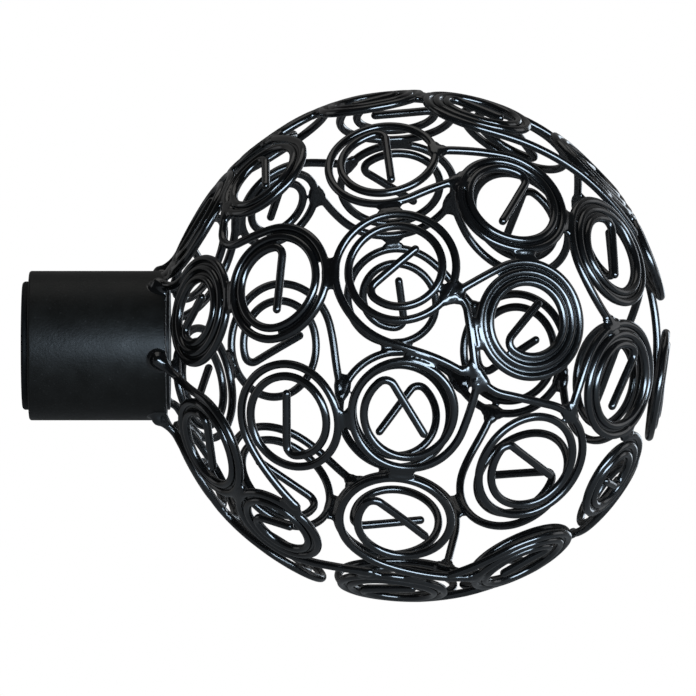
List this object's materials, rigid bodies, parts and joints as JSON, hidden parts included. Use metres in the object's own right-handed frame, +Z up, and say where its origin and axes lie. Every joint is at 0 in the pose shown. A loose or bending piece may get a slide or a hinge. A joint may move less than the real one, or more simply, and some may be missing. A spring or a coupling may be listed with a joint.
{
  "type": "curtain pole finial",
  "caption": "Openwork ball finial of welded wire scrolls on a tube collar, with a plastic sleeve inside that fits over the end of a curtain pole.",
  "frame": {"origin": "on the pole's axis, in the plane of the collar's mouth", "axes": "+X along the pole's axis from the mouth towards the ball, +Z up, so -Y is the front"},
  "size_m": [0.0953, 0.0754, 0.0754],
  "materials": {
    "collar_paint": "satin",
    "disc_paint": "satin",
    "wire_paint": "semi-gloss",
    "sleeve_plastic": "matte"
  },
  "bodies": {
    "root": {"collar": "collar_paint", "reducer_sleeve": "sleeve_plastic", "end_disc": "disc_paint", "scroll_01": "wire_paint", "scroll_02": "wire_paint", "scroll_03": "wire_paint", "scroll_04": "wire_paint", "scroll_05": "wire_paint", "scroll_06": "wire_paint", "scroll_07": "wire_paint", "scroll_08": "wire_paint", "scroll_09": "wire_paint", "scroll_10": "wire_paint", "scroll_11": "wire_paint", "scroll_12": "wire_paint", "scroll_13": "wire_paint", "scroll_14": "wire_paint", "scroll_15": "wire_paint", "scroll_16": "wire_paint", "scroll_17": "wire_paint", "scroll_18": "wire_paint", "scroll_19": "wire_paint", "scroll_20": "wire_paint", "scroll_21": "wire_paint", "scroll_22": "wire_paint", "scroll_23": "wire_paint", "scroll_24": "wire_paint", "scroll_25": "wire_paint", "scroll_26": "wire_paint", "scroll_27": "wire_paint", "scroll_28": "wire_paint", "scroll_29": "wire_paint", "scroll_30": "wire_paint", "scroll_31": "wire_paint", "scroll_32": "wire_paint", "scroll_33": "wire_paint", "scroll_34": "wire_paint", "scroll_35": "wire_paint", "scroll_36": "wire_paint", "scroll_37": "wire_paint", "scroll_38": "wire_paint", "scroll_39": "wire_paint", "scroll_40": "wire_paint", "scroll_41": "wire_paint", "scroll_42": "wire_paint", "scroll_43": "wire_paint", "scroll_44": "wire_paint", "scroll_45": "wire_paint", "scroll_46": "wire_paint"}
  },
  "joints": []
}
